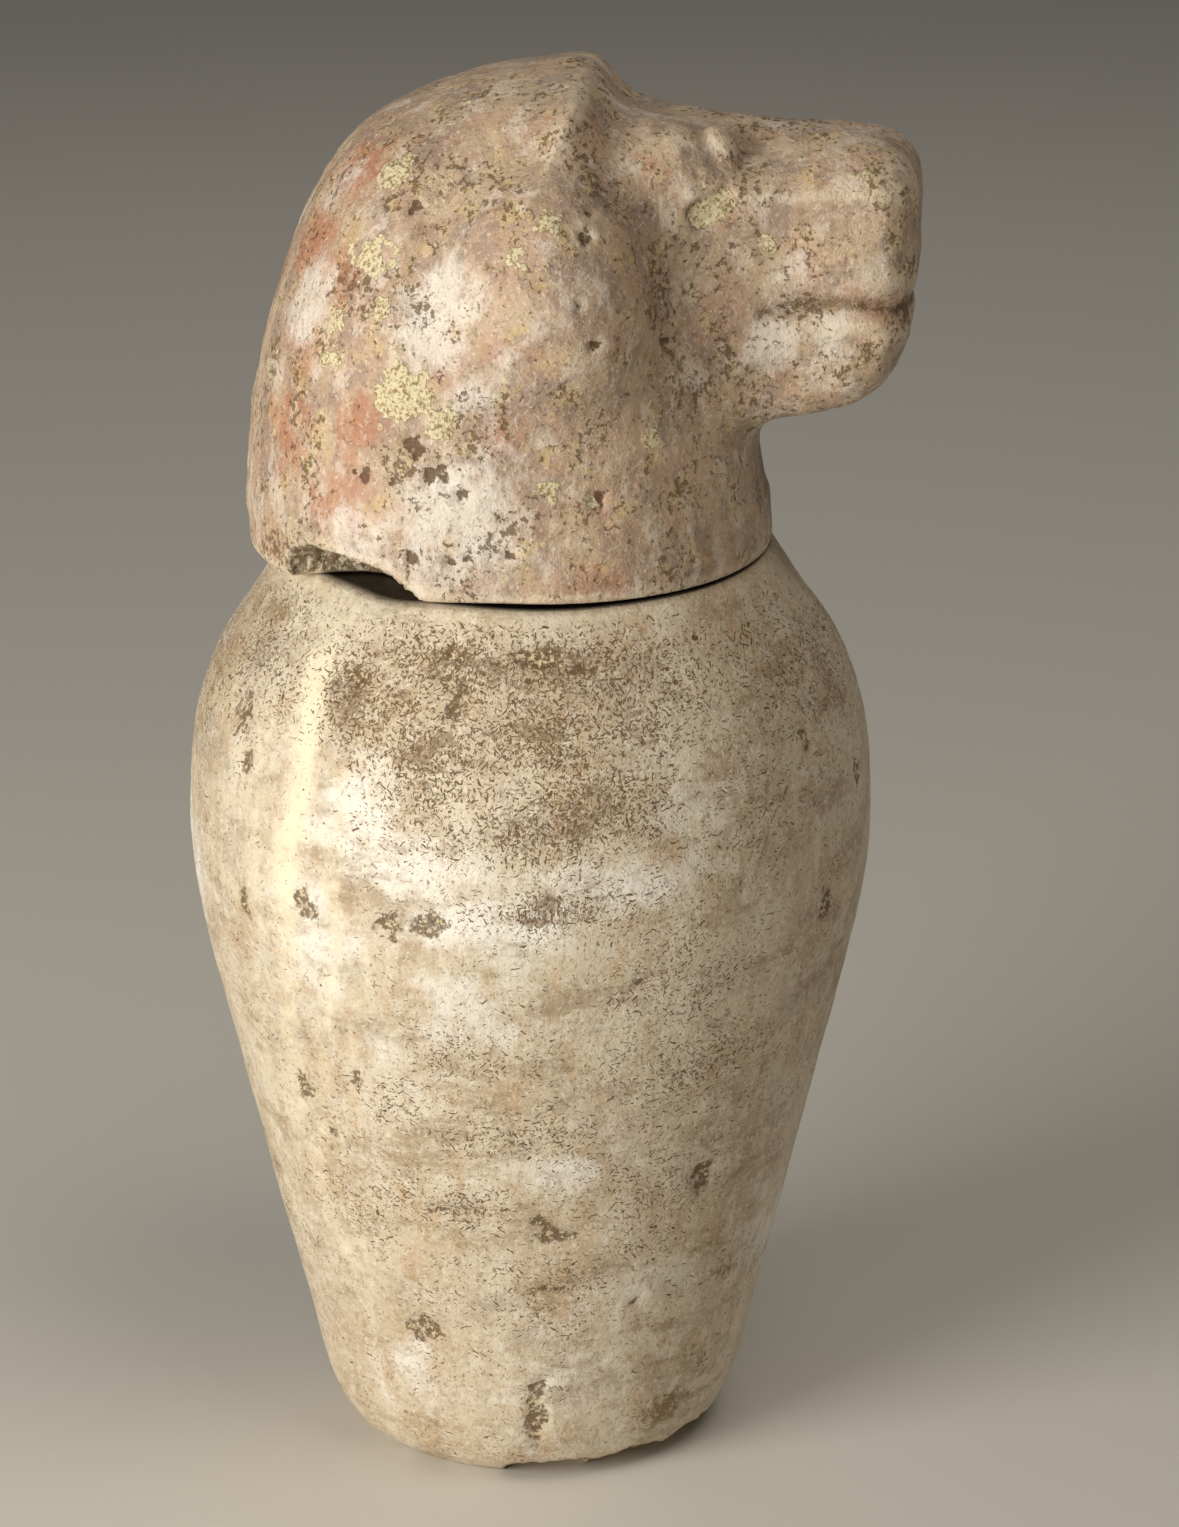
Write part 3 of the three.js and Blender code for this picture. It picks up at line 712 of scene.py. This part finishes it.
def ticks(tree, where, cell, half_length, half_width, held):
    """Short cuts, each turned its own way, with more of them where more earth is held."""
    cells = add(tree, "TexVoronoi", {"Vector": where, "Scale": per_mm(cell)}).node
    own = cells.outputs["Color"]
    offset = add(tree, "VectorMath", {0: where, 1: cells.outputs["Position"]}, operation="SUBTRACT")
    way = add(tree, "VectorMath", {0: own, 1: (-0.5, -0.5, -0.5)}, operation="ADD")
    way = add(tree, "VectorMath", {0: way}, operation="NORMALIZE")
    across = add(tree, "VectorMath", {0: offset, 1: way}, "Value", operation="DOT_PRODUCT")
    across = add(tree, "Math", {0: across}, operation="ABSOLUTE")
    edge = half_width * MM
    thin = add(tree, "MapRange", {0: across, 1: 1.5 * edge, 2: 0.6 * edge}, interpolation_type="SMOOTHSTEP")
    far, reach = cells.outputs["Distance"], half_length / cell
    short = add(tree, "MapRange", {0: far, 1: reach, 2: 0.8 * reach}, interpolation_type="SMOOTHSTEP")
    lot = add(tree, "SeparateColor", {0: own}, 2)
    there = add(tree, "Math", {0: held, 1: lot}, operation="SUBTRACT")
    there = add(tree, "MapRange", {0: there, 1: 0.0, 2: 0.12})
    cut = add(tree, "Math", {0: thin, 1: short}, operation="MULTIPLY")
    return add(tree, "Math", {0: cut, 1: there}, operation="MULTIPLY")


def jar_stone():
    """Calcite alabaster, banded, turned and rubbed smooth, then long buried.

    It gives a satin skin on cream stone whose bands run up the jar, with brown earth held in the
    mason's short strokes and in pits, and white crystal where the skin is bruised.
    """
    material, tree = new_stone("calcite_alabaster_jar")
    spot = add(tree, "TexCoord", {}, "Object")
    upright = add(tree, "Mapping", {"Vector": spot, "Scale": (1, 1, 0.1)})
    level = add(tree, "Mapping", {"Vector": spot, "Scale": (0.4, 0.4, 1)})
    pale, vein, stain, pit, broken, tooled, combed, skin, seam = [
        add(tree, "Attribute", {}, "Fac", attribute_name=name)
        for name in ("pale", "vein", "stain", "pit", "broken", "tooled", "combed", "skin", "seam")
    ]

    # cream stone, its upright bands, warm and grey clouds, and the grain of the crystal
    base, _ = coat(tree, colour("#dacbb1"), "#ccb799", spot, 30, 0.4, 0.62)
    base, _ = coat(tree, base, "#e8dcc4", upright, 8, 0.46, 0.64, 0.6, detail=5.0)
    base, _ = coat(tree, base, "#c9a57a", upright, 5, 0.53, 0.7, 0.5, detail=5.0)
    base, _ = coat(tree, base, "#ab9885", spot, 17, 0.5, 0.68, 0.5, detail=6.0, rough=0.68)
    base, _ = coat(tree, base, "#ece3d2", spot, 7, 0.5, 0.66, 0.5, detail=6.0, rough=0.75)
    # paler patches, partly paler stone and partly a painted sheen where the lamp lights the near flank
    base, _ = coat(tree, base, "#f8f2e6", spot, 9, 0.57, 0.94, 0.92, pale, 0.5, detail=6.0, rough=0.7)
    # brown clouds of old dirt, and the deeper yellow-brown stains
    base, _ = coat(tree, base, "#94764f", level, 11, 0.5, 0.66, 0.55, detail=6.0, rough=0.72)
    base, _ = coat(tree, base, "#b0946a", spot, 4, 0.72, 1.02, 0.4, tooled, 0.36, detail=5.0, rough=0.7)
    base, _ = coat(tree, base, "#84652f", spot, 4, 0.78, 1.0, 0.85, stain, 0.5, detail=5.0, rough=0.72)
    # the grain: fine flecks, paler and browner than the stone round them
    base, _ = coat(tree, base, "#f1e8d6", spot, 1.5, 0.53, 0.66, 0.45, detail=2.0, rough=0.7)
    base, _ = coat(tree, base, "#8a6c47", spot, 1.9, 0.53, 0.68, 0.42, detail=3.0, rough=0.75)
    base, bright = coat(tree, base, "#fbeecf", spot, 5, 0.56, 1.2, 0.95, vein, 0.62, detail=6.0, rough=0.7)

    # the mason's strokes: how much earth each part holds, then cuts of two lengths and crumbs between them
    patchy = add(tree, "TexNoise", {"Vector": spot, "Scale": per_mm(13), "Detail": 5.0, "Roughness": 0.72})
    held = add(tree, "Math", {0: tooled, 1: 0.62, 2: patchy}, operation="MULTIPLY_ADD")
    held = add(tree, "MapRange", {0: held, 1: 0.44, 2: 1.1, 3: 0.03, 4: 0.74})
    held = add(tree, "Math", {0: held, 1: skin}, operation="MULTIPLY")
    bare = add(tree, "Math", {0: bright, 1: held}, operation="MULTIPLY")
    held = add(tree, "Math", {0: bare, 1: -0.7, 2: held}, operation="MULTIPLY_ADD")
    wobble = add(tree, "TexNoise", {"Vector": spot, "Scale": per_mm(1.6), "Detail": 1.0}, "Color")
    bend = [STROKE_WANDER * MM] * 3
    bent = add(tree, "VectorMath", {0: wobble, 1: bend, 2: spot}, operation="MULTIPLY_ADD")
    fine = ticks(tree, bent, 0.95, 0.62, 0.075, held)
    long = ticks(tree, bent, 1.9, 1.1, 0.11, held)
    cuts = add(tree, "Math", {0: fine, 1: long}, operation="MAXIMUM")
    # rows of upright cuts, as a toothed scraper leaves, broken where it skipped
    teeth = add(tree, "SeparateXYZ", {0: bent}, "Y")
    teeth = add(tree, "Math", {0: teeth, 1: math.tau / (TOOTH_SPACING * MM)}, operation="MULTIPLY")
    teeth = add(tree, "Math", {0: teeth}, operation="SINE")
    teeth = add(tree, "MapRange", {0: teeth, 1: 0.45, 2: 0.9}, interpolation_type="SMOOTHSTEP")
    touched = patches(tree, spot, 1.6, 0.72, 0.84, 0.9, combed, 0.36, detail=2.0)
    rows = add(tree, "Math", {0: teeth, 1: touched}, operation="MULTIPLY")
    cuts = add(tree, "Math", {0: cuts, 1: rows}, operation="MAXIMUM")
    crumbs = patches(tree, spot, 0.9, 0.66, 0.76, 0.9, held, 0.22, detail=2.0, rough=0.7)
    cakes = patches(tree, level, 2.6, 0.76, 0.9, 0.6, held, 0.4, detail=5.0, rough=0.75)
    soil = add(tree, "Math", {0: cuts, 1: crumbs}, operation="MAXIMUM")
    soil = add(tree, "Math", {0: soil, 1: cakes}, operation="MAXIMUM")
    base = add(tree, "Mix", {0: soil, 6: base, 7: colour("#745838")}, 2, data_type="RGBA")
    # pits: brown clusters with pale crystal showing through
    base, sunk = coat(tree, base, "#6a4e2f", spot, 1.5, 0.86, 1.04, 0.88, pit, 0.55, detail=4.0, rough=0.75)
    base, _ = coat(tree, base, "#eadbb4", spot, 1.4, 1.08, 1.16, 0.8, pit, 0.58, detail=3.0, rough=0.7)
    raw, _ = coat(tree, colour("#a58a5e"), "#d9c9a6", spot, 2.4, 0.44, 0.6, detail=5.0, rough=0.75)
    base = add(tree, "Mix", {0: broken, 6: base, 7: raw}, 2, data_type="RGBA")
    base = add(tree, "Mix", {0: seam, 6: base, 7: colour(SEAM_SHADOW)}, 2, data_type="RGBA")

    dull = add(tree, "Math", {0: soil, 1: sunk}, operation="MAXIMUM")
    grain = add(tree, "TexNoise", {"Vector": spot, "Scale": per_mm(2.2), "Detail": 5.0, "Roughness": 0.7})
    height = add(tree, "Math", {0: dull, 1: -0.5, 2: grain}, operation="MULTIPLY_ADD")
    relief = add(tree, "Bump", {"Strength": 0.75, "Distance": 0.7 * MM, "Height": height})
    gloss = add(tree, "MapRange", {0: grain, 1: 0.35, 2: 0.65, 3: 0.42, 4: 0.56})
    gloss = add(tree, "Math", {0: dull, 1: 0.3, 2: gloss}, operation="MULTIPLY_ADD")
    polished = {"Base Color": base, "Roughness": gloss, "IOR": STONE_IOR, "Normal": relief}
    shader = add(tree, "BsdfPrincipled", polished)
    add(tree, "OutputMaterial", {"Surface": shader})
    return material


def lid_stone():
    """Calcite alabaster of a pinker bed, carved and rubbed, then buried.

    Iron has reddened it at the back, whiter crystal shows in cloudy patches with a painted highlight on the
    lobe, earth and painted shade darken the grooves, and pale yellow lime has crusted on it in flakes.
    """
    material, tree = new_stone("calcite_alabaster_lid")
    spot = add(tree, "TexCoord", {}, "Object")
    slant = add(tree, "Mapping", {"Vector": spot, "Rotation": (0.6, 0.2, 0.3), "Scale": (1, 0.6, 0.4)})
    iron, white, crust, grime_and_shade, edges, pit, fracture, seam = [
        add(tree, "Attribute", {}, "Fac", attribute_name=name)
        for name in ("iron", "white", "crust", "grime_and_shade", "edges", "pit", "fracture", "seam")
    ]

    # pinkish stone mottled with fawn, mauve grey, yellow and white, from 20 mm clouds down to the grain
    base, _ = coat(tree, colour("#cdb699"), "#b79d86", spot, 18, 0.42, 0.58, detail=5.0)
    base, _ = coat(tree, base, "#d0ae92", slant, 9, 0.48, 0.58, 0.7, detail=6.0, rough=0.7)
    base, _ = coat(tree, base, "#a08b7e", slant, 8, 0.5, 0.6, 0.7, detail=6.0, rough=0.7)
    base, _ = coat(tree, base, "#dcc28c", spot, 7, 0.53, 0.63, 0.65, detail=6.0, rough=0.7)
    base, _ = coat(tree, base, "#e8d8c6", slant, 6, 0.51, 0.62, 0.66, detail=6.0, rough=0.72)
    base, _ = coat(tree, base, "#bd9070", spot, 5, 0.56, 0.66, 0.45, detail=6.0, rough=0.72)
    base, _ = coat(tree, base, "#b97753", slant, 5, 0.74, 0.98, 0.75, iron, 0.5, detail=6.0, rough=0.74)
    # white patches: whiter crystal, and on the lobe a painted highlight
    base, _ = coat(tree, base, "#f1e8dc", slant, 5, 0.72, 0.98, 0.82, white, 0.5, detail=6.0, rough=0.72)
    base, _ = coat(tree, base, "#f2e2c6", spot, 3, 0.66, 1.0, 0.5, edges, 0.5)
    # earth: a film rubbed over all of it, deeper in the hollows and folds where the darkening is also
    # painted shade, and crumbs in the grain
    base, _ = coat(tree, base, "#8b6e4c", spot, 4, 0.53, 0.66, 0.5, detail=6.0, rough=0.78)
    base, dark = coat(tree, base, "#725739", spot, 3.2, 0.62, 1.2, 0.75, grime_and_shade, 0.62, detail=6.0, rough=0.78)
    base, _ = coat(tree, base, "#f4ead9", spot, 1.2, 0.56, 0.68, 0.4, detail=2.0, rough=0.7)
    base, _ = coat(tree, base, "#6b5138", spot, 1.5, 0.56, 0.68, 0.5, detail=3.0, rough=0.75)
    patchy = add(tree, "TexNoise", {"Vector": spot, "Scale": per_mm(14), "Detail": 4.0, "Roughness": 0.7})
    loose = add(tree, "Math", {0: grime_and_shade, 1: 0.16, 2: patchy}, operation="MULTIPLY_ADD")
    base, crumbs = coat(tree, base, "#7a5d3b", spot, 1.7, 0.95, 1.06, 0.85, loose, 0.72, rough=0.72)
    base, sunk = coat(tree, base, "#66492c", spot, 1.4, 0.94, 1.1, 0.88, pit, 0.6, detail=4.0, rough=0.75)
    # lime crust: ragged flakes, cream on top and brown between the crumbs
    lime, _ = coat(tree, colour("#a08456"), "#e3d7b2", spot, 0.9, 0.38, 0.54, detail=3.0, rough=0.7)
    base, flake = coat(tree, base, lime, spot, 1.8, 0.86, 0.96, 1.0, crust, 0.75, detail=4.0, rough=0.7)
    # the break: raw white crystal among dark earth
    raw, _ = coat(tree, colour("#7b664b"), "#e3d8bd", spot, 2.4, 0.46, 0.64, detail=5.0, rough=0.75)
    base = add(tree, "Mix", {0: fracture, 6: base, 7: raw}, 2, data_type="RGBA")
    base = add(tree, "Mix", {0: seam, 6: base, 7: colour(SEAM_SHADOW)}, 2, data_type="RGBA")

    dull = add(tree, "Math", {0: sunk, 1: crumbs}, operation="MAXIMUM")
    grain = add(tree, "TexNoise", {"Vector": spot, "Scale": per_mm(3.0), "Detail": 6.0, "Roughness": 0.7})
    height = add(tree, "Math", {0: dull, 1: -0.5, 2: grain}, operation="MULTIPLY_ADD")
    height = add(tree, "Math", {0: flake, 1: 0.35, 2: height}, operation="MULTIPLY_ADD")
    relief = add(tree, "Bump", {"Strength": 0.9, "Distance": 0.9 * MM, "Height": height})
    gloss = add(tree, "MapRange", {0: grain, 1: 0.35, 2: 0.65, 3: 0.38, 4: 0.54})
    dull = add(tree, "Math", {0: dull, 1: flake}, operation="MAXIMUM")
    dull = add(tree, "Math", {0: dull, 1: dark}, operation="MAXIMUM")
    gloss = add(tree, "Math", {0: dull, 1: 0.3, 2: gloss}, operation="MULTIPLY_ADD")
    polished = {"Base Color": base, "Roughness": gloss, "IOR": STONE_IOR, "Normal": relief}
    shader = add(tree, "BsdfPrincipled", polished)
    add(tree, "OutputMaterial", {"Surface": shader})
    return material


def studio_paper():
    """Matt pale paper, plain, so nothing takes the eye from the stone."""
    material, tree = new_stone("studio_paper")
    shader = add(tree, "BsdfPrincipled", {"Base Color": colour("#e2dfd8"), "Roughness": 0.9})
    add(tree, "OutputMaterial", {"Surface": shader})
    return material


# ---------------------------------------------------------------- assembly

jar = make_jar()
jar.data.materials.append(jar_stone())
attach(jar, "root")
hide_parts("jar_body")

lid = make_lid()
lid.data.materials.append(lid_stone())
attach(lid, "root")
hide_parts("baboon_head_lid")

# ---------------------------------------------------------------- floor, light and camera

bm = bmesh.new()
bmesh.ops.create_grid(bm, x_segments=8, y_segments=8, size=12)
paper = bpy.data.meshes.new("floor")
bm.to_mesh(paper)
bm.free()
floor = new_piece("floor", paper)
floor.data.materials.append(studio_paper())

MIDDLE = Vector((0, 0, 0.19))


def lamp(name, where, width, height, watts, tint="#ffffff"):
    light = bpy.data.lights.new(name, "AREA")
    light.shape, light.size, light.size_y = "RECTANGLE", width, height
    light.energy, light.color = watts, colour(tint)[:3]
    made = bpy.data.objects.new(name, light)
    made.location = where
    made.rotation_euler = (MIDDLE - Vector(where)).to_track_quat("-Z", "Y").to_euler()
    bpy.context.scene.collection.objects.link(made)


lamp("window", (-1.05, 0.95, 0.42), 0.8, 1.0, 23, "#fffaf1")
lamp("high_fill", (-0.55, -0.6, 1.7), 1.0, 0.8, 7.5, "#fff4e4")
lamp("back_rim", (1.3, 0.1, 1.1), 0.8, 0.8, 1.2, "#fdf6ea")

world = bpy.data.worlds.new("studio")
world.use_nodes = True
world.node_tree.nodes["Background"].inputs["Color"].default_value = colour("#e9e7e2")
world.node_tree.nodes["Background"].inputs["Strength"].default_value = 0.09
bpy.context.scene.world = world
bpy.context.scene.view_settings.view_transform = "Standard"

camera = bpy.data.objects.new("camera", bpy.data.cameras.new("camera"))
camera.data.sensor_width, camera.data.lens = 36, 145
camera.location = (-1.4126, -0.1236, 0.6326)
camera.rotation_euler = (math.radians(90 - 18.1), 0, math.radians(-85.58))
bpy.context.scene.collection.objects.link(camera)
bpy.context.scene.camera = camera
